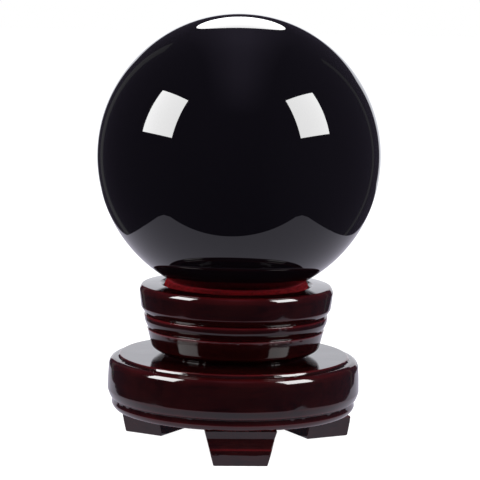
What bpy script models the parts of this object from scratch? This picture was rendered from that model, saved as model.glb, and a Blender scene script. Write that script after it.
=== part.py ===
"""Black crystal ball on a two-tier turned wooden stand with a padded velvet seat.

Units are metres, +Z is up. The origin is on the table, on the axis that the ball and
both tiers share. -Y is the front, where one of the three feet points.
Sizes below are in millimetres and become metres through MM.
"""
import math

import bmesh
import bpy
from mathutils import Matrix, Vector

MM = 0.001
GAP = 0.3                      # clearance between pieces that touch

# Driving dimensions
BALL_RADIUS = 55.0
BALL_CENTRE_Z = 112.4
FOOT_HEIGHT = 13.6             # table to the underside of the lower tier
DISC_TOP_Z = 34.6              # flat top of the lower tier
CUP_TOP_Z = 62.1               # outer edge of the rim
RIM_CROWN = 0.45               # the rim rises this much towards the seat
CUP_RIM_RADIUS = 37.75
CUP_RIM_FALL = 0.5             # the flat top falls this much towards the seat
LOWER_RADIUS = 49.3
LOWER_TIER_X = -0.5            # the lower tier is glued on this far off the axis
COLLAR_RADIUS = 28.1           # outside of the velvet collar
COLLAR_TOP = (26.8, 64.0)      # radius and height of its highest ring

# Seat: layers counted outwards from the ball's surface
COLLAR_OFFSET = GAP
PILE_OFFSET = 1.1              # free space under the ball inside the collar
VELVET_THICKNESS = 0.8
FOAM_INNER_RADIUS = 20.9
FOAM_OUTER_RADIUS = 27.0
SEAT_FLOOR_Z = 57.5

# Joinery
DOWEL_RADIUS = 4.0
DOWEL_DEPTH_LOWER = 12.0
DOWEL_DEPTH_UPPER = 10.0
DOWEL_CHAMFER = 0.6

# Feet: a trapezium from the front, an ogee from the side. They are cut and placed by
# hand, so each has its own angle from the front and its own radii along that angle.
# The crease is the lower edge of the cove, and the valley is its deepest line.
FEET = {
    "front": {"angle": 3.7, "inner": 27.0, "sole": 45.3, "belly": 0.3, "crease": (45.3, 6.2),
              "valley": (43.4, 10.1), "top": 44.9, "cove_bulge": 0.05},
    "left": {"angle": -119.5, "inner": 27.0, "sole": 43.8, "belly": 0.1, "crease": (44.4, 8.8),
             "valley": (43.0, 9.9), "top": 45.4, "cove_bulge": 0.1},
    "right": {"angle": 118.5, "inner": 27.8, "sole": 46.3, "belly": 0.1, "crease": (46.4, 8.2),
              "valley": (42.8, 10.8), "top": 44.3, "cove_bulge": 0.3},
}
FOOT_SOLE_HALF_WIDTH = 10.2
FOOT_TOP_HALF_WIDTH = 13.7
FOOT_EDGE_BEVEL = 0.25

# Nails: two in each foot, driven up into the lower tier
NAIL_PITCH_RADIUS = 36.5
NAIL_SIDE_STEP = 5.5
NAIL_SHANK_RADIUS = 0.8
NAIL_HEAD_RADIUS = 1.6
NAIL_HEAD_HEIGHT = 0.7
NAIL_HEAD_Z = 1.0              # how deep the heads are sunk
NAIL_TIP_Z = 20.5
NAIL_POINT_LENGTH = 1.5
HOLE_OVERRUN = 1.0             # a cutter stands this far out of the surface it cuts

TURNING_STEPS = 48
BALL_SEGMENTS = 48
BALL_RINGS = 24
RING_STEPS = 48
MERGE_DISTANCE = 0.00005


def clear_scene():
    for item in list(bpy.data.objects):
        bpy.data.objects.remove(item, do_unlink=True)


def make_material(name, colour, roughness, metallic=0.0, coat=0.0):
    material = bpy.data.materials.new(name)
    material.use_nodes = True
    shader = material.node_tree.nodes["Principled BSDF"]
    shader.inputs["Base Color"].default_value = (*colour, 1.0)
    shader.inputs["Roughness"].default_value = roughness
    shader.inputs["Metallic"].default_value = metallic
    shader.inputs["Coat Weight"].default_value = coat
    return material


def arc(start, end, bulge, steps):
    """Points after start, up to end, on an arc that stands bulge off the chord.

    A positive bulge is on the left of the way from start to end, which is the
    outside of a profile that runs outwards and then down.
    """
    chord = Vector(end) - Vector(start)
    half = chord.length / 2
    radius = (half * half + bulge * bulge) / (2 * abs(bulge))
    normal = Vector((-chord.y, chord.x)).normalized() * math.copysign(1, bulge)
    centre = (Vector(start) + Vector(end)) / 2 + normal * (abs(bulge) - radius)
    first = Vector(start) - centre
    turn = -2 * math.asin(half / radius) * math.copysign(1, bulge)
    points = []
    for step in range(1, steps + 1):
        points.append(tuple(centre + Matrix.Rotation(turn * step / steps, 2) @ first))
    return points


def under_ball(offset, radii):
    """Profile points that follow the ball's underside at a distance."""
    reach = BALL_RADIUS + offset
    return [(r, BALL_CENTRE_Z - math.sqrt(reach * reach - r * r)) for r in radii]


def spread(first, last, steps):
    return [first + (last - first) * step / steps for step in range(steps + 1)]


def link(name, mesh, material):
    piece = bpy.data.objects.new(name, mesh)
    mesh.materials.append(material)
    bpy.context.collection.objects.link(piece)
    return piece


def turned(name, profile, material, steps=TURNING_STEPS, closed=False):
    """Lathe a profile of (radius, height) about the Z axis with a Screw modifier."""
    mesh = bpy.data.meshes.new(name)
    points = [(r * MM, 0.0, z * MM) for r, z in profile]
    edges = [(i, i + 1) for i in range(len(points) - 1)]
    if closed:
        edges.append((len(points) - 1, 0))
    mesh.from_pydata(points, edges, [])
    piece = link(name, mesh, material)
    screw = piece.modifiers.new("Lathe", "SCREW")
    screw.axis = "Z"
    screw.steps = steps
    screw.render_steps = steps
    screw.use_smooth_shade = True
    screw.use_merge_vertices = True
    screw.merge_threshold = MERGE_DISTANCE
    return piece


def make_ball(material):
    mesh = bpy.data.meshes.new("crystal_ball")
    work = bmesh.new()
    bmesh.ops.create_uvsphere(work, u_segments=BALL_SEGMENTS, v_segments=BALL_RINGS,
                              radius=BALL_RADIUS * MM)
    work.to_mesh(mesh)
    work.free()
    mesh.shade_smooth()
    ball = link("crystal_ball", mesh, material)
    ball.location.z = BALL_CENTRE_Z * MM
    return ball


def make_velvet_seat(material):
    """Dish lining and rolled collar in one skin, open underneath over the foam."""
    lining_radius = FOAM_INNER_RADIUS - GAP
    under_collar = COLLAR_OFFSET + VELVET_THICKNESS
    under_dish = PILE_OFFSET + VELVET_THICKNESS
    skirt_inner = FOAM_OUTER_RADIUS + GAP
    skirt_bottom = SEAT_FLOOR_Z + GAP
    outline = under_ball(PILE_OFFSET, spread(0.0, 19.2, 5))
    outline += under_ball(COLLAR_OFFSET, spread(20.4, 26.1, 3))
    outline += [COLLAR_TOP] + arc(COLLAR_TOP, (COLLAR_RADIUS, 62.3), 0.4, 4)
    outline += [(COLLAR_RADIUS, skirt_bottom), (skirt_inner, skirt_bottom)]
    outline += [(skirt_inner, 61.6)]
    outline += reversed(under_ball(under_collar, spread(lining_radius, 26.2, 3)))
    outline += reversed(under_ball(under_dish, spread(0.0, lining_radius - 0.4, 5)))
    return turned("velvet_seat", outline, material, steps=RING_STEPS)


def make_foam_ring(material):
    crown_offset = COLLAR_OFFSET + VELVET_THICKNESS + GAP
    base_z = SEAT_FLOOR_Z + GAP
    outline = under_ball(crown_offset, spread(FOAM_INNER_RADIUS, 25.8, 3))
    outline += arc(outline[-1], (FOAM_OUTER_RADIUS, 61.2), 0.2, 2)
    outline += [(FOAM_OUTER_RADIUS, base_z), (FOAM_INNER_RADIUS, base_z)]
    return turned("foam_ring", outline, material, steps=RING_STEPS, closed=True)


def make_upper_tier(material):
    """Turned cup: dished seat, rounded rim, two grooves and an undercut foot."""
    base_z = DISC_TOP_Z + GAP
    hole_radius = DOWEL_RADIUS + GAP
    dish_offset = PILE_OFFSET + VELVET_THICKNESS + GAP
    seat_wall = COLLAR_RADIUS + GAP
    lip_radius = FOAM_INNER_RADIUS - GAP
    outline = under_ball(dish_offset, spread(0.0, lip_radius - 0.3, 5))
    outline += [(lip_radius, SEAT_FLOOR_Z), (seat_wall, SEAT_FLOOR_Z)]
    seat_edge_z = CUP_TOP_Z - CUP_RIM_FALL
    outline += [(seat_wall, seat_edge_z - 0.3), (seat_wall + 0.3, seat_edge_z)]
    rim_crown = (29.8, CUP_TOP_Z + RIM_CROWN)
    rim_top = (CUP_RIM_RADIUS - 1.4, CUP_TOP_Z)
    rim_edge = (CUP_RIM_RADIUS - 0.8, CUP_TOP_Z - 0.25)
    rim_side = (CUP_RIM_RADIUS, CUP_TOP_Z - 2.4)
    outline += [rim_crown] + arc(rim_crown, rim_top, 0.05, 2)
    outline += arc(rim_top, rim_edge, 0.07, 2) + arc(rim_edge, rim_side, 0.21, 3)
    outline += arc(rim_side, (37.05, 53.5), 0.05, 2)
    outline += arc((37.05, 53.5), (35.4, 51.2), 0.1, 3)
    outline += [(35.0, 50.9), (35.85, 50.5), (35.65, 48.5)]
    outline += arc((35.65, 48.5), (34.45, 45.75), 0.09, 2)
    outline += [(33.9, 45.35), (34.6, 45.0), (34.2, 43.7), (33.25, 39.8), (32.95, 38.6)]
    outline += arc((32.95, 38.6), (31.7, 37.15), 0.17, 2)
    outline += arc((31.7, 37.15), (26.8, base_z), 0.2, 3)
    outline += [(hole_radius, base_z)]
    outline += [(hole_radius, base_z + DOWEL_DEPTH_UPPER), (0.0, base_z + DOWEL_DEPTH_UPPER)]
    return turned("upper_tier", outline, material)


def make_lower_tier(material):
    """Turned base: raised disc, full round side and a small bead at the bottom."""
    disc_edge = (44.85, DISC_TOP_Z - 0.3)
    shoulder = (48.0, 32.7)
    wall_top = (LOWER_RADIUS - 0.3, 30.2)
    outline = [(0.0, DISC_TOP_Z), (44.2, DISC_TOP_Z)] + arc((44.2, DISC_TOP_Z), disc_edge, 0.09, 2)
    outline += [(45.2, 33.45), (46.2, 33.45)]
    outline += arc((46.2, 33.45), shoulder, 0.16, 2) + arc(shoulder, wall_top, 0.2, 3)
    outline += [(LOWER_RADIUS - 0.18, 25.0), (LOWER_RADIUS, 19.5)]
    outline += arc((LOWER_RADIUS, 19.5), (48.5, 18.25), 0.1, 2)
    outline += [(47.3, 17.75), (47.6, 15.6)]
    outline += arc((47.6, 15.6), (46.3, FOOT_HEIGHT), 0.2, 3)
    outline += [(0.0, FOOT_HEIGHT)]
    tier = turned("lower_tier", outline, material)
    tier.location.x = LOWER_TIER_X * MM
    return tier


def make_dowel(material):
    top = DISC_TOP_Z + DOWEL_DEPTH_UPPER
    bottom = DISC_TOP_Z - DOWEL_DEPTH_LOWER + GAP
    outline = [(0.0, top), (DOWEL_RADIUS - DOWEL_CHAMFER, top), (DOWEL_RADIUS, top - DOWEL_CHAMFER)]
    outline += [(DOWEL_RADIUS, bottom + DOWEL_CHAMFER), (DOWEL_RADIUS - DOWEL_CHAMFER, bottom)]
    outline += [(0.0, bottom)]
    return turned("tier_dowel", outline, material, steps=24)


def place_on_foot(angle, radius, side):
    """World position at a radius along a foot's own direction and a step to its side."""
    turn = math.radians(angle)
    along = Vector((math.sin(turn), -math.cos(turn), 0.0))
    across = Vector((math.cos(turn), math.sin(turn), 0.0))
    return (along * radius + across * side) * MM


def foot_half_width(z):
    share = z / (FOOT_HEIGHT - GAP)
    return FOOT_SOLE_HALF_WIDTH + (FOOT_TOP_HALF_WIDTH - FOOT_SOLE_HALF_WIDTH) * share


def make_foot(label, material):
    """Bracket foot: one side outline, bridged to its mirror across the foot."""
    foot = FEET[label]
    crease, valley = foot["crease"], foot["valley"]
    top = (foot["top"], FOOT_HEIGHT - GAP)
    sole_end = (foot["sole"], 0.0)
    outline = [(foot["inner"], 0.0), sole_end] + arc(sole_end, crease, -foot["belly"], 3)
    outline += arc(crease, valley, foot["cove_bulge"], 3) + arc(valley, top, foot["cove_bulge"], 3)
    outline += [(foot["inner"], top[1])]
    work = bmesh.new()
    sides = []
    for sign in (-1, 1):
        corners = []
        for radius, z in outline:
            spot = place_on_foot(foot["angle"], radius, sign * foot_half_width(z))
            corners.append(work.verts.new((spot.x, spot.y, z * MM)))
        sides.append(work.faces.new(corners))
    bmesh.ops.bridge_loops(work, edges=list(sides[0].edges) + list(sides[1].edges))
    bmesh.ops.recalc_face_normals(work, faces=work.faces)
    mesh = bpy.data.meshes.new("foot_" + label)
    work.to_mesh(mesh)
    work.free()
    piece = link("foot_" + label, mesh, material)
    bevel = piece.modifiers.new("Eased edges", "BEVEL")
    bevel.width = FOOT_EDGE_BEVEL * MM
    bevel.segments = 2
    bevel.limit_method = "ANGLE"
    bevel.angle_limit = math.radians(40)
    return piece


def nail_outline(clearance, head_from, tip_z):
    """Nail profile from its tip down to its head, grown by a clearance."""
    shank = NAIL_SHANK_RADIUS + clearance
    head = NAIL_HEAD_RADIUS + clearance
    head_top = NAIL_HEAD_Z + NAIL_HEAD_HEIGHT + clearance
    return [(0.0, tip_z), (shank, tip_z - NAIL_POINT_LENGTH), (shank, head_top),
            (head, head_top), (head, head_from), (0.0, head_from)]


def make_nail(name, spot, material):
    nail = turned(name, nail_outline(0.0, NAIL_HEAD_Z, NAIL_TIP_Z), material, steps=12)
    nail.location = spot
    return nail


def cut_hole(label, outline, spot, pieces, material, steps):
    """Drill a turned hole with its middle at a spot through each piece that it passes."""
    cutter = turned("cut_" + label, outline, material, steps)
    cutter.location = spot
    cutter.hide_render = True
    cutter.display_type = "WIRE"
    for piece in pieces:
        cut = piece.modifiers.new("Hole " + label, "BOOLEAN")
        cut.operation = "DIFFERENCE"
        cut.object = cutter


def main():
    clear_scene()
    glass = make_material("black_glass", (0.004, 0.003, 0.005), 0.03)
    velvet = make_material("red_velvet", (0.32, 0.012, 0.022), 0.95)
    foam = make_material("foam", (0.75, 0.68, 0.5), 0.9)
    lacquer = make_material("lacquered_wood", (0.035, 0.006, 0.006), 0.18, coat=1.0)
    bare_wood = make_material("dowel_wood", (0.55, 0.38, 0.2), 0.7)
    steel = make_material("nail_steel", (0.5, 0.5, 0.52), 0.4, metallic=1.0)

    make_ball(glass)
    make_velvet_seat(velvet)
    make_foam_ring(foam)
    make_upper_tier(lacquer)
    lower_tier = make_lower_tier(lacquer)
    make_dowel(bare_wood)
    dowel_hole = [(0.0, DISC_TOP_Z + HOLE_OVERRUN), (DOWEL_RADIUS + GAP, DISC_TOP_Z + HOLE_OVERRUN)]
    dowel_hole += [(r, DISC_TOP_Z - DOWEL_DEPTH_LOWER) for r in (DOWEL_RADIUS + GAP, 0.0)]
    cut_hole("dowel", dowel_hole, (0.0, 0.0, 0.0), (lower_tier,), bare_wood, steps=24)
    nail_hole = nail_outline(GAP, -HOLE_OVERRUN, NAIL_TIP_Z + GAP)
    for label, foot in FEET.items():
        piece = make_foot(label, lacquer)
        for side_name, side in (("a", -NAIL_SIDE_STEP), ("b", NAIL_SIDE_STEP)):
            spot = place_on_foot(foot["angle"], NAIL_PITCH_RADIUS, side)
            nail_label = label + "_" + side_name
            make_nail("foot_nail_" + nail_label, spot, steel)
            cut_hole(nail_label, nail_hole, spot, (piece, lower_tier), lacquer, steps=12)


main()
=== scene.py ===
"""Looks of the black crystal ball on its two-tier lacquered stand.

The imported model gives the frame. Lengths are in millimetres and become metres through
MM, +Z is up and -Y is the front. Each visible piece is a finer mesh that stands for its
CAD node, with a node material of its own. The nails and the dowel keep their CAD mesh.
"""

import math
import random

import bmesh
import bpy
import numpy as np
from mathutils import Matrix, Vector, noise


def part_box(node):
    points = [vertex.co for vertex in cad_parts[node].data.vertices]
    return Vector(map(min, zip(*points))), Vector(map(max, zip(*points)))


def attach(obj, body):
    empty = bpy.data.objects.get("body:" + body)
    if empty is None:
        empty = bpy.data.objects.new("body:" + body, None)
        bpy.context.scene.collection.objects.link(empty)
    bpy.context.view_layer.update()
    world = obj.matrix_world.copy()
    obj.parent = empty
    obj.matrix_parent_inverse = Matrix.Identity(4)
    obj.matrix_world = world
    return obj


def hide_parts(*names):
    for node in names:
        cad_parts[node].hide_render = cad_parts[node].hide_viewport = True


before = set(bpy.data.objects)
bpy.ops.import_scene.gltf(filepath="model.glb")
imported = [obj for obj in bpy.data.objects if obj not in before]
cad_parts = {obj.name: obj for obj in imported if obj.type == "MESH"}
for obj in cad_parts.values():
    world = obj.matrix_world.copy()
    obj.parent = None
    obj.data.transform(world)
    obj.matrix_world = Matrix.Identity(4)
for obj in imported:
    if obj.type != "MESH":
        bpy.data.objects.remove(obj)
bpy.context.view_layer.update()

MM = 0.001
random.seed(7)

# Where the CAD nodes are
ball_low, ball_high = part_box("crystal_ball")
cup_low, cup_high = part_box("upper_tier")
base_low, base_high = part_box("lower_tier")
_, velvet_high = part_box("velvet_seat")
BALL_RADIUS = (ball_high.z - ball_low.z) / 2 / MM
BALL_CENTRE_Z = (ball_high.z + ball_low.z) / 2 / MM
RIM_CROWN = 0.45               # the rim rises this much towards the seat
CUP_TOP_Z = cup_high.z / MM - RIM_CROWN
CUP_BASE_Z = cup_low.z / MM
CUP_RIM_RADIUS = cup_high.x / MM
DISC_TOP_Z = base_high.z / MM
BASE_LOW_Z = base_low.z / MM
BASE_RADIUS = (base_high.x - base_low.x) / 2 / MM
BASE_SHIFT_X = (base_high.x + base_low.x) / 2 / MM
COLLAR_RADIUS = velvet_high.x / MM
COLLAR_TOP_Z = velvet_high.z / MM

# Mesh fineness
TIER_STEPS = 480
RING_STEPS = 300
BALL_GRID = 56                 # faces along each edge of the cube that becomes the ball
ARC_STEPS = 12
OUTLINE_STEP = 0.1             # spacing of the points that an outline is eased with
OUTLINE_TOLERANCE = 0.003      # how far a thinned outline may stray from the eased one
OUTLINE_LONGEST = 0.8
GLUE_SPACING = 0.25
CLOTH_SPACING = 0.55
FOOT_VOXEL = 0.26
FOAM_VOXEL = 0.45

# Seat cloth
PILE_ROOM = 1.1                # free space under the ball inside the collar
CONTACT_INNER_RADIUS = 20.4    # where the collar starts to carry the ball
CONTACT_OUTER_RADIUS = 26.1
CONTACT_GAP = 0.3              # between the band and the ball, as in the CAD
BALL_GAP = 0.12                # the least gap that the cloth keeps after its creases
SKIRT_BASE_Z = 57.8
CLOTH_SOFTNESS = 0.35
CLOTH_EASING_STEP = 0.2
CLOTH_THICKNESS = 0.4          # the nap on it makes up the rest
CLOTH_SCALE = 20.0             # the simulation runs this many times larger
CLOTH_FRAMES = 20
PUFF_PRESSURE = 3.0
PUFF_CAP = 0.2                 # how far the padding may swell

# Nap: fine spikes on the cloth
NAP_HEIGHT = 0.45
COLLAR_NAP_DENSITY = 17.0      # spikes to the square millimetre
COLLAR_NAP_DEPTH = 0.9         # how far the nap goes down below the rim of the cup
DISH_NAP_DENSITY = 7.0
DISH_NAP_LEAST_GAP = 0.6       # no nap where the ball is closer than this
SPIKE_RADIUS = 0.07
SPIKE_DEPTH = 0.05             # how deep a spike's foot sits in the cloth
SPIKE_LEAN = 0.6
SPIKE_LENGTHS = (0.5, 1.3)     # shares of the nap's height
SPIKE_GAP = 0.03               # between the spikes and the ball

# Feet
FEET = {"front": 6.2, "left": 8.8, "right": 8.2}    # height of the crease on each foot, along which a red highlight is painted
CREASE_WIDTH = 0.3
CREASE_LEAST_RADIUS = 43.8     # the painted red crease highlight is only on the outer face
FOOT_WEAR_GAIN = 4.0           # how fast the lacquer wears as an edge gets sharper
FOOT_WEAR_LEAST = 0.07

# Lacquer
EDGE_SOFTNESS = 0.12
PEG_HOLE = (4.3, 10.0)         # radius, and depth in the upper tier
HIDDEN_RADIUS = 24.0           # nothing inside this radius is roughened
HIDDEN_FADE = 2.0
WALL_DENTS = ((-27.0, 22.6, 2.2, 0.06), (34.0, 27.0, 1.2, 0.05), (30.0, 24.5, 1.0, 0.05),
              (38.0, 25.5, 1.6, 0.05), (31.0, 20.6, 1.3, 0.06))    # azimuth, height, size, depth

# Unevenness of the surfaces: width of the lumps and their height
TIER_WAVES, TIER_GRIT, TIER_DRIPS = (11.0, 0.035), (1.2, 0.075), (2.4, 0.16)
GLUE_LUMPS, GLUE_GRAIN = (2.2, 0.22), (0.8, 0.06)
FOOT_WAVES, FILE_MARKS = (4.0, 0.05), (0.9, 0.03)
FOAM_LUMPS, FOAM_SHRINK = (0.9, 0.06), 0.04
CLOTH_WAVES, CLOTH_CREASES, CLOTH_GRAIN = (4.5, 0.08), (1.0, 0.1), (0.9, 0.05)
CREASES_ROUND = 14.0           # how fast the creases change round the collar
CREASES_DOWN = 0.25            # how slowly they change down it

# Studio
ROOM_RADIUS = 3.5              # metres, like the light ramps on its walls
ROOM_RADIANCE = 0.045
SHADE_RADIUS = 28.0            # the table is dark under the back of the stand
SHADE_BACK = 18.0
FLOOR_HALF = 4000.0
TABLE_LIFT = 0.1               # keeps the reflected table top clear of the floor
PAPER_DISTANCE = 600.0         # behind the ball
PAPER_HEIGHT = 255.0
LAMP_DISTANCE = 1200.0
WALL_DISTANCE = 2500.0
WALL_TOP = 2000.0
WALL_RADIANCE = 0.12

# Camera
CAMERA_PLACE = Vector((1.04, -888.0, 195.4)) * MM
CAMERA_DIP_DEG = 7.43
CAMERA_ROLL_DEG = 1.15
CAMERA_LENS = 172.4
CAMERA_SENSOR = 36.0


# ---------------------------------------------------------------- outlines

def arc(start, end, bulge):
    """Points after start, up to end, on an arc that stands bulge off the chord.

    It bulges towards the outside of an outline that runs outwards and then down.
    """
    chord = Vector(end) - Vector(start)
    half = chord.length / 2
    radius = (half * half + bulge * bulge) / (2 * bulge)
    normal = Vector((-chord.y, chord.x)).normalized()
    centre = (Vector(start) + Vector(end)) / 2 + normal * (bulge - radius)
    first = Vector(start) - centre
    turn = -2 * math.asin(min(1.0, half / radius))
    turns = [turn * i / ARC_STEPS for i in range(1, ARC_STEPS + 1)]
    return [tuple(centre + Matrix.Rotation(angle, 2) @ first) for angle in turns]


def under_ball(offset, radii):
    """Outline points that follow the ball's underside at a distance."""
    reach = BALL_RADIUS + offset
    return [(r, BALL_CENTRE_Z - math.sqrt(reach * reach - r * r)) for r in radii]


def resample(points, step):
    """The same line with evenly spaced points."""
    line = np.array(points, float)
    along = np.concatenate([[0.0], np.cumsum(np.linalg.norm(np.diff(line, axis=0), axis=1))])
    count = max(2, int(round(along[-1] / step)) + 1)
    places = np.linspace(0.0, along[-1], count)
    return np.stack([np.interp(places, along, line[:, k]) for k in range(2)], axis=1)


def eased(points, softness, step=OUTLINE_STEP):
    """Round every corner of an open outline, as coats of lacquer do. The ends stay."""
    line = resample(points, step)
    reach = int(math.ceil(3 * softness / step))
    weights = np.exp(-0.5 * (np.arange(-reach, reach + 1) * step / softness) ** 2)
    weights /= weights.sum()
    before = 2 * line[0] - line[reach:0:-1]
    after = 2 * line[-1] - line[-2:-reach - 2:-1]
    padded = np.concatenate([before, line, after])
    smooth = np.stack([np.convolve(padded[:, k], weights, mode="valid") for k in range(2)], axis=1)
    smooth[0], smooth[-1] = line[0], line[-1]
    return smooth


def sharpness(line, reach, gain, least, most=1.0):
    """How sharp an outer edge each outline point is on, from 0 on flats and in hollows to most.

    The turn in radians is taken over reach points on both sides, and gain and least scale it.
    """
    turn = np.zeros(len(line))
    before = line[reach:-reach] - line[:-2 * reach]
    after = line[2 * reach:] - line[reach:-reach]
    cross = before[:, 1] * after[:, 0] - before[:, 0] * after[:, 1]
    dot = (before * after).sum(axis=1)
    turn[reach:-reach] = np.arctan2(cross, dot)
    return np.clip(turn * gain - least, 0.0, most)


def thinned(line):
    """Indices of the points that the outline needs: fewer on flats, and none too far apart."""
    keep = [0]
    last = 0
    for i in range(2, len(line)):
        chord = line[i] - line[last]
        between = line[last + 1:i] - line[last]
        length = np.linalg.norm(chord)
        off = np.abs(between[:, 0] * chord[1] - between[:, 1] * chord[0]) / max(length, 1e-9)
        if off.max() > OUTLINE_TOLERANCE or length > OUTLINE_LONGEST:
            keep.append(i - 1)
            last = i - 1
    keep.append(len(line) - 1)
    return keep


# ---------------------------------------------------------------- meshes

def direction(azimuth, elevation):
    """Unit vector in degrees. Azimuth 0 is towards the front and 90 towards +X."""
    turn, lift = math.radians(azimuth), math.radians(elevation)
    return Vector((math.sin(turn) * math.cos(lift), -math.cos(turn) * math.cos(lift), math.sin(lift)))


def link(name, mesh, material):
    """Put a mesh in the scene as a piece with one material."""
    piece = bpy.data.objects.new(name, mesh)
    mesh.materials.append(material)
    bpy.context.scene.collection.objects.link(piece)
    return piece


def lathe(name, outline, material, steps, closed=False, attributes=None):
    """Revolve (radius, height) points about Z. The outline runs outwards and then down."""
    outline = np.array(outline, float)
    angles = np.arange(steps) * 2 * math.pi / steps
    places, rings, values = [], [], {key: [] for key in attributes or {}}
    for index, (radius, height) in enumerate(outline):
        if radius < 1e-6:
            rings.append([len(places)] * steps)
            places.append((0.0, 0.0, height))
            count = 1
        else:
            rings.append(list(range(len(places), len(places) + steps)))
            places += [(radius * math.cos(a), radius * math.sin(a), height) for a in angles]
            count = steps
        for key in values:
            values[key] += [float(attributes[key][index])] * count
    pairs = list(zip(rings[:-1], rings[1:]))
    if closed:
        pairs.append((rings[-1], rings[0]))
    faces = []
    for upper, lower in pairs:
        for j in range(steps):
            k = (j + 1) % steps
            face = [upper[j], lower[j], lower[k], upper[k]]
            faces.append(tuple(dict.fromkeys(face)))
    mesh = bpy.data.meshes.new(name)
    mesh.from_pydata([tuple(c * MM for c in p) for p in places], [], faces)
    for key, column in values.items():
        store(mesh, key, column)
    mesh.shade_smooth()
    return link(name, mesh, material)


def coordinates(mesh):
    """Vertex places and normals as arrays, in millimetres and unit length."""
    count = len(mesh.vertices)
    places = np.zeros(count * 3)
    normals = np.zeros(count * 3)
    mesh.vertices.foreach_get("co", places)
    mesh.vertices.foreach_get("normal", normals)
    return places.reshape(-1, 3) / MM, normals.reshape(-1, 3)


def push(piece, amounts):
    """Move each vertex along its normal by an amount in millimetres."""
    mesh = piece.data
    places, normals = coordinates(mesh)
    places += normals * np.asarray(amounts)[:, None]
    mesh.vertices.foreach_set("co", (places * MM).ravel())
    mesh.update()


def lumps(places, size, seed):
    """Smooth noise from -1 to 1 at each place, with features about size millimetres wide."""
    shift = Vector((seed * 17.3, seed * -9.1, seed * 4.7))
    return np.array([noise.noise(Vector(p) / size + shift) for p in places])


def relief(places, shape, seed, stretch=(1.0, 1.0, 1.0)):
    """Lumps of a (width, height) shape, in millimetres. A stretch above 1 squeezes them."""
    size, height = shape
    return lumps(places * stretch, size, seed) * height


def store(mesh, key, values):
    """Keep one number for each vertex, for the materials and for roughen."""
    mesh.attributes.new(key, "FLOAT", "POINT").data.foreach_set("value", values)


# ---------------------------------------------------------------- node helpers

class Nodes:
    """A material's node tree with short calls to add and link nodes.

    Its shader is the Principled one that a new material comes with, or an emitter's own.
    """

    def __init__(self, material):
        material.use_nodes = True
        self.material = material
        self.tree = material.node_tree
        shaders = ("BSDF_PRINCIPLED", "EMISSION")
        self.shader = next(node for node in self.tree.nodes if node.type in shaders)
        self.place = self.add("ShaderNodeTexCoord").outputs["Object"]

    def add(self, kind, **settings):
        node = self.tree.nodes.new(kind)
        for key, value in settings.items():
            setattr(node, key, value)
        return node

    def join(self, source, target):
        self.tree.links.new(source, target)

    def fill(self, **values):
        """Set the shader's own sockets. Underscores stand for spaces."""
        for key, value in values.items():
            self.shader.inputs[key.replace("_", " ")].default_value = value

    def stretched(self, scale, turn=(0.0, 0.0, 0.0)):
        """Object coordinates scaled by scale per metre along each axis."""
        mapping = self.add("ShaderNodeMapping")
        mapping.inputs["Scale"].default_value = scale
        mapping.inputs["Rotation"].default_value = turn
        self.join(self.place, mapping.inputs["Vector"])
        return mapping.outputs["Vector"]

    def clouds(self, vector, scale, detail, roughness, distortion=0.0):
        """Noise from 0 to 1. Its scale is in features per unit of vector."""
        node = self.add("ShaderNodeTexNoise")
        node.inputs["Scale"].default_value = scale
        node.inputs["Detail"].default_value = detail
        node.inputs["Roughness"].default_value = roughness
        node.inputs["Distortion"].default_value = distortion
        self.join(vector, node.inputs["Vector"])
        return node.outputs["Fac"]

    def ramp(self, value, low, high, first, last):
        """Colours from first to last as value goes from low to high."""
        node = self.add("ShaderNodeValToRGB")
        node.color_ramp.elements[0].position = low
        node.color_ramp.elements[1].position = high
        node.color_ramp.elements[0].color = (*first, 1.0)
        node.color_ramp.elements[1].color = (*last, 1.0)
        self.join(value, node.inputs["Fac"])
        return node.outputs["Color"]

    def remap(self, value, low, high, to_low, to_high):
        """Numbers from to_low to to_high as value goes from low to high."""
        node = self.add("ShaderNodeMapRange")
        node.clamp = True
        ends = {"From Min": low, "From Max": high, "To Min": to_low, "To Max": to_high}
        for name, number in ends.items():
            node.inputs[name].default_value = number
        self.join(value, node.inputs["Value"])
        return node.outputs["Result"]

    def math(self, operation, first, second):
        node = self.add("ShaderNodeMath", operation=operation)
        for socket, value in zip(node.inputs, (first, second)):
            if isinstance(value, (int, float)):
                socket.default_value = value
            else:
                self.join(value, socket)
        return node.outputs["Value"]

    def mix(self, share, first, second):
        """The first colour, going over to the second as share goes from 0 to 1."""
        node = self.add("ShaderNodeMix", data_type="RGBA")
        for name, value in (("Factor", share), ("A", first), ("B", second)):
            socket = next(s for s in node.inputs if s.name == name and s.enabled)
            if isinstance(value, tuple):
                socket.default_value = (*value, 1.0)
            else:
                self.join(value, socket)
        return next(s for s in node.outputs if s.enabled)

    def attribute(self, name):
        return self.add("ShaderNodeAttribute", attribute_name=name).outputs["Fac"]

    def bump(self, height, distance):
        """Tilt the shader's normal by a height map that stands distance metres tall."""
        node = self.add("ShaderNodeBump")
        node.inputs["Distance"].default_value = distance
        node.inputs["Strength"].default_value = 1.0
        self.join(height, node.inputs["Height"])
        self.to_shader("Normal", node.outputs["Normal"])

    def to_shader(self, socket_name, value):
        self.join(value, self.shader.inputs[socket_name])


# ---------------------------------------------------------------- materials

GLOSS = {"IOR": 1.5, "Specular_IOR_Level": 0.5}


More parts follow.
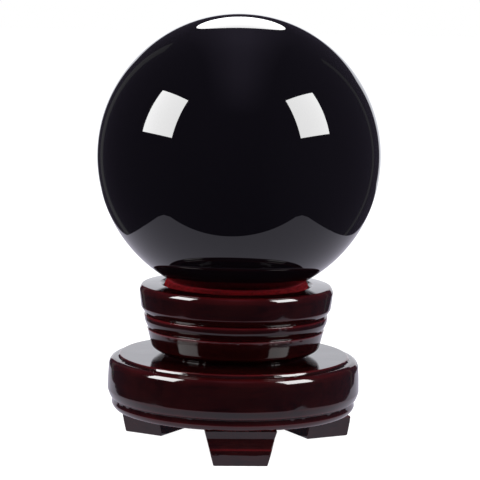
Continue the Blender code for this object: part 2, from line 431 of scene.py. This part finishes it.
def glass_material():
    """Opaque black glass, polished, with faint smears and a few specks of dust."""
    nodes = Nodes(bpy.data.materials.new("black_glass"))
    wiped = nodes.stretched(scale=(1.0, 1.0, 2.4), turn=(0.3, 0.2, 0.5))
    smears = nodes.clouds(wiped, scale=34.0, detail=4.0, roughness=0.62, distortion=0.6)
    nodes.to_shader("Roughness", nodes.remap(smears, 0.5, 0.85, 0.012, 0.055))
    cells = nodes.add("ShaderNodeTexVoronoi")
    cells.inputs["Scale"].default_value = 110.0
    nodes.join(nodes.place, cells.inputs["Vector"])
    dust = nodes.remap(cells.outputs["Distance"], 0.0, 0.035, 1.0, 0.0)
    nodes.to_shader("Base Color", nodes.mix(dust, (0.0013, 0.0011, 0.0018), (0.007, 0.007, 0.0075)))
    nodes.fill(**GLOSS)
    return nodes.material


def lacquer_material(name, grain_scale, grain_turn, tint=1.0):
    """Dark rosewood lacquer: a red-brown body under gloss, redder on crests: worn thin on sharp
    edges, with painted light on broad shoulders and a painted highlight along the crease of the feet.

    The tint makes the body lighter, but not the crests.
    """
    nodes = Nodes(bpy.data.materials.new(name))
    along_grain = nodes.stretched(grain_scale, grain_turn)
    grain = nodes.clouds(along_grain, scale=1.0, detail=5.0, roughness=0.6, distortion=0.8)
    patches = nodes.clouds(nodes.place, scale=55.0, detail=3.0, roughness=0.5)
    dark = (0.0030 * tint, 0.0003 * tint, 0.0004 * tint)
    light = (0.0075 * tint, 0.0008 * tint, 0.0008 * tint)
    patch = (0.009 * tint, 0.0014 * tint, 0.0011 * tint)
    red = (0.042, 0.0022, 0.0030)
    body = nodes.ramp(grain, 0.36, 0.68, dark, light)
    body = nodes.mix(nodes.remap(patches, 0.42, 0.7, 0.0, 0.4), body, patch)
    # crest red: lacquer worn thin on sharp edges, plus painted light on broad shoulders and a painted
    # highlight along the foot crease
    crest_patchiness = nodes.remap(patches, 0.3, 0.6, 0.45, 1.0)
    crest_wear_and_painted_light = nodes.math("MULTIPLY", nodes.attribute("crest"), crest_patchiness)
    nodes.to_shader("Base Color", nodes.mix(crest_wear_and_painted_light, body, red))
    nodes.to_shader("Roughness", nodes.remap(patches, 0.3, 0.8, 0.045, 0.10))
    nodes.bump(nodes.clouds(nodes.place, scale=420.0, detail=2.0, roughness=0.5), 0.000012)
    nodes.fill(**GLOSS)
    return nodes.material


def velvet_material(name, dark, light):
    """Red velvet: deep red roots, lighter nap and a pale sheen."""
    nodes = Nodes(bpy.data.materials.new(name))
    nap = nodes.clouds(nodes.place, scale=850.0, detail=4.0, roughness=0.7)
    nodes.to_shader("Base Color", nodes.ramp(nap, 0.38, 0.68, dark, light))
    nodes.to_shader("Roughness", nodes.remap(nap, 0.3, 0.7, 0.75, 0.95))
    nodes.fill(Sheen_Weight=0.8, Sheen_Roughness=0.3, Sheen_Tint=(1.0, 0.12, 0.16, 1.0))
    nodes.fill(Specular_IOR_Level=0.05)
    nodes.bump(nodes.clouds(nodes.place, scale=2600.0, detail=2.0, roughness=0.6), 0.0002)
    return nodes.material


def foam_material():
    """Pale yellow foam with open pores."""
    nodes = Nodes(bpy.data.materials.new("foam"))
    pores = nodes.clouds(nodes.place, scale=1400.0, detail=3.0, roughness=0.6)
    nodes.to_shader("Base Color", nodes.ramp(pores, 0.3, 0.7, (0.42, 0.35, 0.2), (0.78, 0.71, 0.52)))
    nodes.to_shader("Roughness", nodes.remap(pores, 0.3, 0.7, 0.8, 1.0))
    nodes.bump(pores, 0.0003)
    return nodes.material


def dowel_material():
    """Bare light wood, with its grain along the peg."""
    nodes = Nodes(bpy.data.materials.new("dowel_wood"))
    along_peg = nodes.stretched((900.0, 900.0, 60.0))
    grain = nodes.clouds(along_peg, scale=1.0, detail=4.0, roughness=0.6)
    nodes.to_shader("Base Color", nodes.ramp(grain, 0.3, 0.7, (0.36, 0.21, 0.10), (0.62, 0.43, 0.25)))
    nodes.to_shader("Roughness", nodes.remap(grain, 0.3, 0.7, 0.6, 0.8))
    nodes.bump(grain, 0.00004)
    return nodes.material


def steel_material():
    """Steel, a little worn and dull."""
    nodes = Nodes(bpy.data.materials.new("nail_steel"))
    wear = nodes.clouds(nodes.place, scale=900.0, detail=4.0, roughness=0.6)
    nodes.to_shader("Base Color", nodes.ramp(wear, 0.35, 0.7, (0.20, 0.18, 0.17), (0.52, 0.51, 0.50)))
    nodes.to_shader("Roughness", nodes.remap(wear, 0.3, 0.7, 0.3, 0.55))
    nodes.fill(Metallic=1.0)
    nodes.bump(wear, 0.00003)
    return nodes.material


# ---------------------------------------------------------------- the ball

def make_ball(material):
    """A cube grid blown up to the sphere, so that its faces are even and have no poles."""
    work = bmesh.new()
    bmesh.ops.create_cube(work, size=2.0)
    bmesh.ops.subdivide_edges(work, edges=work.edges[:], cuts=BALL_GRID - 1, use_grid_fill=True)
    centre = Vector((0.0, 0.0, BALL_CENTRE_Z * MM))
    for vert in work.verts:
        spread = Vector([math.tan(c * math.pi / 4) for c in vert.co])
        vert.co = centre + spread.normalized() * BALL_RADIUS * MM
    bmesh.ops.recalc_face_normals(work, faces=work.faces[:])
    mesh = bpy.data.meshes.new("glass_ball")
    work.to_mesh(mesh)
    work.free()
    mesh.shade_smooth()
    return link("glass_ball", mesh, material)


# ---------------------------------------------------------------- the two tiers

def upper_outline():
    """Rounded rim, two undercut grooves, and a bowl that curves in to the disc."""
    rim_crown = (29.8, CUP_TOP_Z + RIM_CROWN)
    rim_top = (CUP_RIM_RADIUS - 1.4, CUP_TOP_Z)
    rim_edge = (CUP_RIM_RADIUS - 0.8, CUP_TOP_Z - 0.25)
    rim_side = (CUP_RIM_RADIUS, CUP_TOP_Z - 2.4)
    rim_foot = (37.05, 53.5)
    band = (35.65, 48.5)
    bowl_side = (32.95, 38.6)
    bowl_turn = (31.7, 37.15)
    outline = [(28.7, CUP_TOP_Z - 0.5), rim_crown] + arc(rim_crown, rim_top, 0.05)
    outline += arc(rim_top, rim_edge, 0.07) + arc(rim_edge, rim_side, 0.21)
    outline += arc(rim_side, rim_foot, 0.05) + arc(rim_foot, (35.4, 51.2), 0.1)
    outline += [(35.0, 50.9), (35.85, 50.5), band] + arc(band, (34.45, 45.75), 0.09)
    outline += [(33.9, 45.35), (34.6, 45.0), (34.2, 43.7), (33.25, 39.8), bowl_side]
    outline += arc(bowl_side, bowl_turn, 0.17) + arc(bowl_turn, (26.8, CUP_BASE_Z), 0.2)
    return outline + [(24.0, CUP_BASE_Z)]


def lower_outline():
    """Flat disc, stepped edge, full round side, and a small bead underneath."""
    disc_rim = (44.2, DISC_TOP_Z)
    disc_edge = (44.85, DISC_TOP_Z - 0.3)
    step = (46.2, 33.45)
    shoulder = (48.0, 32.7)
    wall_top = (BASE_RADIUS - 0.42, 30.2)
    wall_foot = (BASE_RADIUS - 0.05, 21.2)
    bead = (47.6, 15.6)
    outline = [(21.0, DISC_TOP_Z), disc_rim] + arc(disc_rim, disc_edge, 0.09)
    outline += [(45.2, 33.45), step] + arc(step, shoulder, 0.16) + arc(shoulder, wall_top, 0.2)
    outline += [(BASE_RADIUS - 0.17, 26.0), wall_foot] + arc(wall_foot, (48.15, 18.25), 0.1)
    outline += [(47.25, 17.75), bead] + arc(bead, (46.3, BASE_LOW_Z), 0.2)
    return outline + [(44.5, BASE_LOW_Z)]


def turned_tier(name, outer, before, after, material):
    """Lathe an eased outer outline between plain hidden outlines.

    The crest attribute says how sharp each outer edge is, where the lacquer wears thin, and on broad
    rounded shoulders it is painted light from above; the hollow attribute says how sharp each groove
    is. Both run from 0 to 1.
    """
    line = eased(outer, EDGE_SOFTNESS)
    fine = sharpness(line, reach=3, gain=2.2, least=0.2)
    # painted light: broad rounded shoulders turn redder, as if lit from above
    painted_shoulder_light = sharpness(line, reach=12, gain=0.9, least=0.15, most=0.6)
    crest = np.maximum(fine, painted_shoulder_light)
    hollow = sharpness(line[::-1], reach=5, gain=1.5, least=0.3)[::-1]
    keep = thinned(line)
    outline = [*before, *[tuple(line[i]) for i in keep], *after]
    values = {}
    for key, column in (("crest", crest), ("hollow", hollow)):
        values[key] = [0.0] * len(before) + [float(column[i]) for i in keep] + [0.0] * len(after)
    tier = lathe(name, outline, material, TIER_STEPS, attributes=values)
    roughen(tier)
    return tier


def roughen(tier):
    """Uneven lacquer: long waves on the flats, and lumps where it gathered in the hollows."""
    mesh = tier.data
    places, _ = coordinates(mesh)
    weights = {}
    for key in ("crest", "hollow"):
        weights[key] = np.zeros(len(places))
        mesh.attributes[key].data.foreach_get("value", weights[key])
    edges = np.maximum(weights["crest"], weights["hollow"])
    waves = relief(places, TIER_WAVES, 1, (1.0, 1.0, 1.6))
    grit = relief(places, TIER_GRIT, 2, (1.0, 1.0, 1.8)) * np.clip(edges * 2 - 1, 0.0, 1.0)
    drips = np.clip(relief(places, TIER_DRIPS, 3), 0.0, None) * weights["hollow"]
    reach = np.hypot(places[:, 0], places[:, 1])
    outside = np.clip((reach - HIDDEN_RADIUS) / HIDDEN_FADE, 0.0, 1.0)
    push(tier, (waves + grit + drips) * outside)


def make_upper_tier(material):
    """The cup, with a dish, a trough for the padding and a hole for the dowel."""
    dish = under_ball(PILE_ROOM + CLOTH_THICKNESS + CONTACT_GAP, np.linspace(0.0, 20.3, 12))
    before = [*dish, (20.6, 57.5), (28.4, 57.5), (28.4, CUP_TOP_Z - 0.8)]
    radius, depth = PEG_HOLE
    after = [(radius, CUP_BASE_Z), (radius, CUP_BASE_Z + depth), (0.0, CUP_BASE_Z + depth)]
    return turned_tier("cup_tier", upper_outline(), before, after, material)


def make_lower_tier(material):
    """The base, with shallow dents, set a little off the axis of the cup."""
    radius, _ = PEG_HOLE
    before = [(0.0, 22.6), (radius, 22.6), (radius, DISC_TOP_Z)]
    after = [(30.0, BASE_LOW_Z), (0.0, BASE_LOW_Z)]
    tier = turned_tier("base_tier", lower_outline(), before, after, material)
    for azimuth, height, size, depth in WALL_DENTS:
        dent(tier, azimuth, height, size, depth)
    tier.data.transform(Matrix.Translation((BASE_SHIFT_X * MM, 0.0, 0.0)))
    return tier


def dent(tier, azimuth, height, size, depth):
    """A soft hollow in the side of the lower tier."""
    places, _ = coordinates(tier.data)
    middle = direction(azimuth, 0.0) * BASE_RADIUS
    away = places - np.array([middle.x, middle.y, height])
    push(tier, -depth * np.exp(-(away ** 2).sum(axis=1) / (2 * size * size)))


def make_glue_line(material):
    """Lacquer that ran into the joint between the tiers."""
    outline = [(26.2, 35.5), (27.4, 35.35), (27.9, 34.95), (28.2, DISC_TOP_Z), (26.0, DISC_TOP_Z)]
    outline = resample(outline, GLUE_SPACING)
    ring = lathe("glue_line", outline, material, RING_STEPS, closed=True)
    places, _ = coordinates(ring.data)
    push(ring, relief(places, GLUE_LUMPS, 5) + relief(places, GLUE_GRAIN, 6))
    return ring


# ---------------------------------------------------------------- feet and foam

def carved(name, node_name, material, voxel):
    """A fine, even skin over a CAD solid, with its edges eased."""
    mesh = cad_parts[node_name].data.copy()
    mesh.materials.clear()
    piece = link(name, mesh, material)
    remesh = piece.modifiers.new("Skin", "REMESH")
    remesh.mode = "VOXEL"
    remesh.voxel_size = voxel * MM
    smooth = piece.modifiers.new("Ease", "SMOOTH")
    smooth.factor = 0.5
    smooth.iterations = 2
    apply_modifiers(piece)
    piece.data.shade_smooth()
    return piece


def apply_modifiers(piece):
    """Turn the piece's modifiers into plain mesh."""
    graph = bpy.context.evaluated_depsgraph_get()
    finished = bpy.data.meshes.new_from_object(piece.evaluated_get(graph))
    piece.modifiers.clear()
    piece.data = finished


def mark_edges(piece, crease_height):
    """Store the crest attribute: lacquer worn on sharp edges, and a painted red highlight along the
    crease.
    """
    mesh = piece.data
    places, normals = coordinates(mesh)
    ends = np.zeros(len(mesh.edges) * 2, int)
    mesh.edges.foreach_get("vertices", ends)
    ends = ends.reshape(-1, 2)
    drop = np.zeros(len(places))
    count = np.zeros(len(places))
    for here, there in ((0, 1), (1, 0)):
        step = places[ends[:, there]] - places[ends[:, here]]
        length = np.maximum(np.linalg.norm(step, axis=1), 1e-6)
        fall = -(step * normals[ends[:, here]]).sum(axis=1) / length
        np.add.at(drop, ends[:, here], fall)
        np.add.at(count, ends[:, here], 1)
    crest = np.clip((drop / np.maximum(count, 1) - FOOT_WEAR_LEAST) * FOOT_WEAR_GAIN, 0.0, 1.0)
    crest *= places[:, 2] < BASE_LOW_Z - 1.5
    reach = np.hypot(places[:, 0], places[:, 1])
    # painted highlight: a red line along the crease of the outer face
    line = np.exp(-((places[:, 2] - crease_height) / CREASE_WIDTH) ** 2)
    crest = np.maximum(crest, line * (reach > CREASE_LEAST_RADIUS))
    store(mesh, "crest", crest)


def make_foot(label, crease_height, material):
    """Foot with file marks along its cove and slightly uneven faces."""
    foot = carved("bracket_" + label, "foot_" + label, material, FOOT_VOXEL)
    mark_edges(foot, crease_height)
    places, _ = coordinates(foot.data)
    angle = math.atan2(places[:, 0].mean(), -places[:, 1].mean())
    across = places[:, 0] * math.cos(angle) + places[:, 1] * math.sin(angle)
    along = places[:, 0] * math.sin(angle) - places[:, 1] * math.cos(angle)
    own = np.stack([across, along, places[:, 2]], axis=1)
    waves = relief(own, FOOT_WAVES, 11, (0.5, 1.0, 1.0))
    marks = relief(own, FILE_MARKS, 12, (0.22, 1.0, 1.6))
    inside = (places[:, 2] > 0.3) & (places[:, 2] < BASE_LOW_Z - 0.6)
    push(foot, (waves + marks) * inside)
    return foot


def make_foam(material):
    """The ring of padding under the velvet."""
    foam = carved("foam_pad", "foam_ring", material, FOAM_VOXEL)
    places, _ = coordinates(foam.data)
    push(foam, relief(places, FOAM_LUMPS, 21) - FOAM_SHRINK)
    return foam


# ---------------------------------------------------------------- velvet seat

def velvet_outline():
    """Top side of the cloth: dish, contact band under the ball, collar and skirt."""
    outline = under_ball(PILE_ROOM, np.linspace(0.0, CONTACT_INNER_RADIUS - 1.2, 8))
    outline += under_ball(CONTACT_GAP, np.linspace(CONTACT_INNER_RADIUS, CONTACT_OUTER_RADIUS, 6))
    side = COLLAR_RADIUS - NAP_HEIGHT
    top = COLLAR_TOP_Z - NAP_HEIGHT
    crown = (side - 1.1, top)
    outline += [crown] + arc(crown, (side, top - 1.5), 0.35)
    return outline + [(side, SKIRT_BASE_Z)]


def swell(piece, held):
    """Puff the cloth out with a short pressure simulation, at most PUFF_CAP millimetres.

    A vertex that is held with weight 1 stays where it is.
    """
    mesh = piece.data
    start, _ = coordinates(mesh)
    mesh.vertices.foreach_set("co", (start * MM * CLOTH_SCALE).ravel())
    group = piece.vertex_groups.new(name="held")
    for index, weight in enumerate(held):
        group.add([index], float(weight), "REPLACE")
    cloth = piece.modifiers.new("Cloth", "CLOTH")
    cloth.settings.quality = 6
    cloth.settings.vertex_group_mass = "held"
    cloth.settings.use_pressure = True
    cloth.settings.uniform_pressure_force = PUFF_PRESSURE
    cloth.settings.effector_weights.gravity = 0.0
    cloth.settings.bending_stiffness = 2.0
    cloth.collision_settings.use_collision = False
    cloth.point_cache.frame_start = 1
    cloth.point_cache.frame_end = CLOTH_FRAMES
    scene = bpy.context.scene
    for number in range(1, CLOTH_FRAMES + 1):
        scene.frame_set(number)
    graph = bpy.context.evaluated_depsgraph_get()
    puffed, _ = coordinates(piece.evaluated_get(graph).data)
    scene.frame_set(1)
    piece.modifiers.clear()
    piece.vertex_groups.clear()
    step = puffed / CLOTH_SCALE - start
    length = np.maximum(np.linalg.norm(step, axis=1, keepdims=True), 1e-9)
    capped = start + step * np.minimum(1.0, PUFF_CAP / length)
    mesh.vertices.foreach_set("co", (capped * MM).ravel())
    mesh.update()


def make_velvet(material):
    """Cloth over the seat: swollen by simulation, creased, then given thickness."""
    outline = eased(velvet_outline(), CLOTH_SOFTNESS, CLOTH_EASING_STEP)
    outline = resample(outline, CLOTH_SPACING)
    cover = lathe("velvet_cover", outline, material, RING_STEPS)
    places, _ = coordinates(cover.data)
    reach = np.hypot(places[:, 0], places[:, 1])
    loose = (reach > CONTACT_OUTER_RADIUS) & (places[:, 2] > SKIRT_BASE_Z + 2.0)
    push(cover, relief(places, CLOTH_WAVES, 31) * loose)
    swell(cover, np.where(loose, 0.0, 1.0))
    places, _ = coordinates(cover.data)
    turn = np.arctan2(places[:, 0], -places[:, 1])
    around = np.stack([np.sin(turn) * CREASES_ROUND, np.cos(turn) * CREASES_ROUND,
                       places[:, 2] * CREASES_DOWN], axis=1)
    push(cover, (relief(around, CLOTH_CREASES, 32) + relief(places, CLOTH_GRAIN, 33)) * loose)
    keep_off_ball(cover)
    thicken = cover.modifiers.new("Cloth thickness", "SOLIDIFY")
    thicken.thickness = CLOTH_THICKNESS * MM
    thicken.offset = -1.0
    apply_modifiers(cover)
    cover.data.shade_smooth()
    return cover


def keep_off_ball(piece):
    """Move points that would touch the ball out to a small distance from it."""
    places, _ = coordinates(piece.data)
    centre = np.array([0.0, 0.0, BALL_CENTRE_Z])
    away = places - centre
    length = np.linalg.norm(away, axis=1, keepdims=True)
    far = np.maximum(length, BALL_RADIUS + BALL_GAP)
    piece.data.vertices.foreach_set("co", ((centre + away / length * far) * MM).ravel())
    piece.data.update()


def pile_spots(cover):
    """Random spots on the free upper side of the cloth, denser on the collar."""
    spots = []
    for face in cover.data.polygons:
        middle = face.center / MM
        reach = math.hypot(middle.x, middle.y)
        on_collar = reach > CONTACT_OUTER_RADIUS
        if face.normal.z < -0.4 or on_collar and middle.z < CUP_TOP_Z - COLLAR_NAP_DEPTH:
            continue
        gap = (BALL_CENTRE_Z - middle.z) - math.sqrt(max(0.0, BALL_RADIUS ** 2 - reach ** 2))
        if not on_collar and not DISH_NAP_LEAST_GAP < gap < PILE_ROOM + 0.3:
            continue
        wanted = face.area / MM / MM * (COLLAR_NAP_DENSITY if on_collar else DISH_NAP_DENSITY)
        count = int(wanted) + (random.random() < wanted % 1)
        corners = [cover.data.vertices[v].co / MM for v in face.vertices]
        for _ in range(count):
            shares = [random.random() + 0.05 for _ in corners]
            spot = sum((c * w for c, w in zip(corners, shares)), Vector()) / sum(shares)
            spots.append((spot, face.normal))
    return spots


def make_pile(cover, material):
    """The velvet's nap as fine spikes that lean a little, each a three-sided point."""
    centre = Vector((0.0, 0.0, BALL_CENTRE_Z))
    points, faces = [], []
    for root, normal in pile_spots(cover):
        lean = Vector([random.uniform(-SPIKE_LEAN, SPIKE_LEAN) for _ in range(3)])
        way = (normal + lean).normalized()
        tip = root + way * random.uniform(*SPIKE_LENGTHS) * NAP_HEIGHT
        nearest = min((tip - centre).length, (root - centre).length)
        if nearest < BALL_RADIUS + SPIKE_GAP:
            continue
        side = way.orthogonal().normalized() * SPIKE_RADIUS
        first = len(points)
        for k in range(3):
            turned = Matrix.Rotation(k * math.tau / 3, 3, way) @ side
            points.append(root - normal * SPIKE_DEPTH + turned)
        points.append(tip)
        faces += [(first + k, first + (k + 1) % 3, first + 3) for k in range(3)]
        faces.append((first + 2, first + 1, first))
    mesh = bpy.data.meshes.new("velvet_pile")
    mesh.from_pydata([tuple(p * MM) for p in points], [], faces)
    return link("velvet_pile", mesh, material)


# ---------------------------------------------------------------- studio

def emitter(name, colour, strength):
    """A material that glows and isn't sampled as a lamp."""
    material = bpy.data.materials.new(name)
    material.use_nodes = True
    tree = material.node_tree
    tree.nodes.clear()
    light = tree.nodes.new("ShaderNodeEmission")
    light.inputs["Color"].default_value = (*colour, 1.0)
    light.inputs["Strength"].default_value = strength
    output = tree.nodes.new("ShaderNodeOutputMaterial")
    tree.links.new(light.outputs["Emission"], output.inputs["Surface"])
    material.cycles.emission_sampling = "NONE"
    return material


def reflection_card(name, corners, material):
    """A flat piece of the studio that shows only in reflections."""
    mesh = bpy.data.meshes.new(name)
    places = [tuple(c * MM for c in corner) for corner in corners]
    mesh.from_pydata(places, [], [tuple(range(len(corners)))])
    show_in_reflections_only(link(name, mesh, material))


def show_in_reflections_only(card):
    """Hide a studio piece from everything but gloss."""
    card.visible_camera = False
    card.visible_diffuse = False
    card.visible_shadow = False
    card.visible_transmission = False
    card.visible_volume_scatter = False


def softbox(name, azimuth, elevation, size, radiance, aim=(0.0, 0.0)):
    """Area light at a direction from the ball, turned by aim off facing it.

    A size of two numbers makes a rectangle, and one number the width of a round one.
    """
    data = bpy.data.lights.new(name, "AREA")
    if isinstance(size, tuple):
        data.shape = "RECTANGLE"
        data.size, data.size_y = (side * MM for side in size)
        area = data.size * data.size_y
    else:
        data.shape = "DISK"
        data.size = size * MM
        area = math.pi * data.size ** 2 / 4
    data.energy = radiance * math.pi * area
    lamp = bpy.data.objects.new(name, data)
    centre = Vector((0.0, 0.0, BALL_CENTRE_Z))
    lamp.location = (centre + direction(azimuth, elevation) * LAMP_DISTANCE) * MM
    facing = -direction(azimuth + aim[0], elevation + aim[1])
    lamp.rotation_mode = "QUATERNION"
    lamp.rotation_quaternion = facing.to_track_quat("-Z", "Y")
    bpy.context.scene.collection.objects.link(lamp)


def make_floor():
    """White table top, light enough to lose its edge against the white background."""
    half = FLOOR_HALF * MM
    corners = [(-half, -half, 0.0), (half, -half, 0.0), (half, half, 0.0), (-half, half, 0.0)]
    mesh = bpy.data.meshes.new("floor")
    mesh.from_pydata(corners, [], [(0, 1, 2, 3)])
    nodes = Nodes(bpy.data.materials.new("white_floor"))
    nodes.fill(Base_Color=(0.15, 0.15, 0.15, 1.0), Roughness=0.9, Specular_IOR_Level=0.0)
    nodes.fill(Emission_Color=(1.0, 1.0, 1.0, 1.0), Emission_Strength=1.0)
    nodes.material.cycles.emission_sampling = "NONE"
    floor = link("floor", mesh, nodes.material)
    floor.visible_glossy = False


def make_reflected_studio():
    """What the gloss sees: a dim room, the white table top and the paper behind."""
    table = emitter("table_white", (0.88, 0.85, 1.0), 0.78)
    paper = emitter("paper_white", (0.97, 0.98, 1.05), 1.14)
    shade = emitter("table_in_shade", (0.75, 0.7, 1.0), 0.08)
    edge = [(-134, 140), (-143, 30), (-150, -55), (-146, -74), (-130, -84), (-50, -91), (60, -102),
            (118, -108), (135, -101), (141, -84), (143, 80), (150, 600), (-150, 600)]
    reflection_card("table_in_gloss", [(x, y, TABLE_LIFT) for x, y in reversed(edge)], table)
    ring = [direction(turn, 0.0) * SHADE_RADIUS for turn in range(350, -1, -10)]
    disc = [(p.x, p.y + SHADE_BACK, 2 * TABLE_LIFT) for p in ring]
    reflection_card("shade_in_gloss", disc, shade)
    left, right, low = -220, 300, 2 * TABLE_LIFT
    sheet = [(left, low), (right, low), (right, PAPER_HEIGHT), (left, PAPER_HEIGHT)]
    reflection_card("paper_in_gloss", [(x, PAPER_DISTANCE, z) for x, z in sheet], paper)
    wall_card("wall_left_in_gloss", -146.0, 8.0)
    wall_card("wall_right_in_gloss", 137.0, 4.0)
    work = bmesh.new()
    bmesh.ops.create_icosphere(work, subdivisions=4, radius=ROOM_RADIUS)
    mesh = bpy.data.meshes.new("room_in_gloss")
    work.to_mesh(mesh)
    work.free()
    show_in_reflections_only(link("room_in_gloss", mesh, dim_room()))


def wall_card(name, azimuth, wide):
    """A pale upright strip of the far wall, wide degrees across as seen from the ball."""
    near, far = (direction(azimuth + half, 0.0) * WALL_DISTANCE for half in (-wide / 2, wide / 2))
    corners = [(near.x, near.y, -WALL_TOP), (far.x, far.y, -WALL_TOP),
               (far.x, far.y, WALL_TOP), (near.x, near.y, WALL_TOP)]
    reflection_card(name, corners, emitter(name, (0.98, 0.97, 1.03), WALL_RADIANCE))


def dim_room():
    """Walls of the studio: more light on the right-hand one, and a lit strip of ceiling."""
    nodes = Nodes(emitter("dim_room", (0.9, 0.78, 1.15), ROOM_RADIANCE))
    split = nodes.add("ShaderNodeSeparateXYZ")
    nodes.join(nodes.place, split.inputs["Vector"])
    sideways, height = split.outputs["X"], split.outputs["Z"]
    strength = nodes.remap(sideways, 1.0, 3.4, ROOM_RADIANCE, ROOM_RADIANCE * 1.7)
    near_middle = nodes.remap(nodes.math("ABSOLUTE", sideways, 0.0), 0.2, 1.3, 1.0, 0.0)
    overhead = nodes.remap(height, 2.2, 3.3, 0.0, 0.15)
    ceiling = nodes.math("MULTIPLY", near_middle, overhead)
    nodes.to_shader("Strength", nodes.math("ADD", strength, ceiling))
    return nodes.material


def make_world():
    """White for the camera and for the fill light, but not for the gloss."""
    world = bpy.data.worlds.new("white_studio")
    bpy.context.scene.world = world
    world.use_nodes = True
    background = world.node_tree.nodes["Background"]
    background.inputs["Color"].default_value = (1.0, 1.0, 1.0, 1.0)
    background.inputs["Strength"].default_value = 1.0
    world.cycles_visibility.glossy = False
    bpy.context.scene.view_settings.view_transform = "Standard"


def make_lights():
    """Two square softboxes, left and right of the front, and a round one above the back."""
    softbox("softbox_left", -71.9, 29.3, (606.0, 611.0), 18.0, aim=(8.5, -13.9))
    softbox("softbox_right", 66.4, 31.3, (575.0, 612.0), 18.0, aim=(-8.6, -8.5))
    softbox("octabox_back", 180.3, 38.5, 560.0, 7.0)


def make_camera():
    """The photograph's view, looking down a little, with a slight roll."""
    data = bpy.data.cameras.new("camera")
    data.lens = CAMERA_LENS
    data.sensor_width = CAMERA_SENSOR
    data.clip_start = 0.01
    camera = bpy.data.objects.new("camera", data)
    tilt = Matrix.Rotation(math.radians(90 - CAMERA_DIP_DEG), 4, "X")
    roll = Matrix.Rotation(math.radians(CAMERA_ROLL_DEG), 4, "Z")
    camera.matrix_world = Matrix.Translation(CAMERA_PLACE) @ tilt @ roll
    bpy.context.scene.collection.objects.link(camera)
    bpy.context.scene.camera = camera


# ---------------------------------------------------------------- everything

def stand_for(piece, body, node):
    """Let a finer piece ride on a body in place of a CAD node."""
    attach(piece, body)
    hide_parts(node)


def add_trim(piece, body):
    """A piece too small for a CAD node of its own."""
    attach(piece, body)


def repaint(node_name, material):
    """Give a CAD node that keeps its own mesh a finished material."""
    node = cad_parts[node_name]
    node.data.materials.clear()
    node.data.materials.append(material)


make_camera()
glass = glass_material()
lacquer = lacquer_material("lacquered_wood", (30.0, 240.0, 200.0), (0.0, 0.0, 0.5))
foot_lacquer = lacquer_material("lacquered_feet", (160.0, 160.0, 700.0), (0.0, 0.0, 0.0), 1.3)
velvet = velvet_material("red_velvet", (0.03, 0.0005, 0.0009), (0.09, 0.0015, 0.0027))
nap = velvet_material("velvet_nap", (0.05, 0.0006, 0.0012), (0.46, 0.0105, 0.018))
foam = foam_material()

stand_for(make_ball(glass), "ball", "crystal_ball")
stand_for(make_upper_tier(lacquer), "stand", "upper_tier")
stand_for(make_lower_tier(lacquer), "stand", "lower_tier")
add_trim(make_glue_line(lacquer), "stand")
for label, crease_height in FEET.items():
    stand_for(make_foot(label, crease_height, foot_lacquer), "stand", "foot_" + label)
    for side in "ab":
        repaint("foot_nail_" + label + "_" + side, steel_material())

seat_cover = make_velvet(velvet)
stand_for(seat_cover, "stand", "velvet_seat")
add_trim(make_pile(seat_cover, nap), "stand")
foam_pad = make_foam(foam)
stand_for(foam_pad, "stand", "foam_ring")
repaint("tier_dowel", dowel_material())

make_world()
make_floor()
make_reflected_studio()
make_lights()
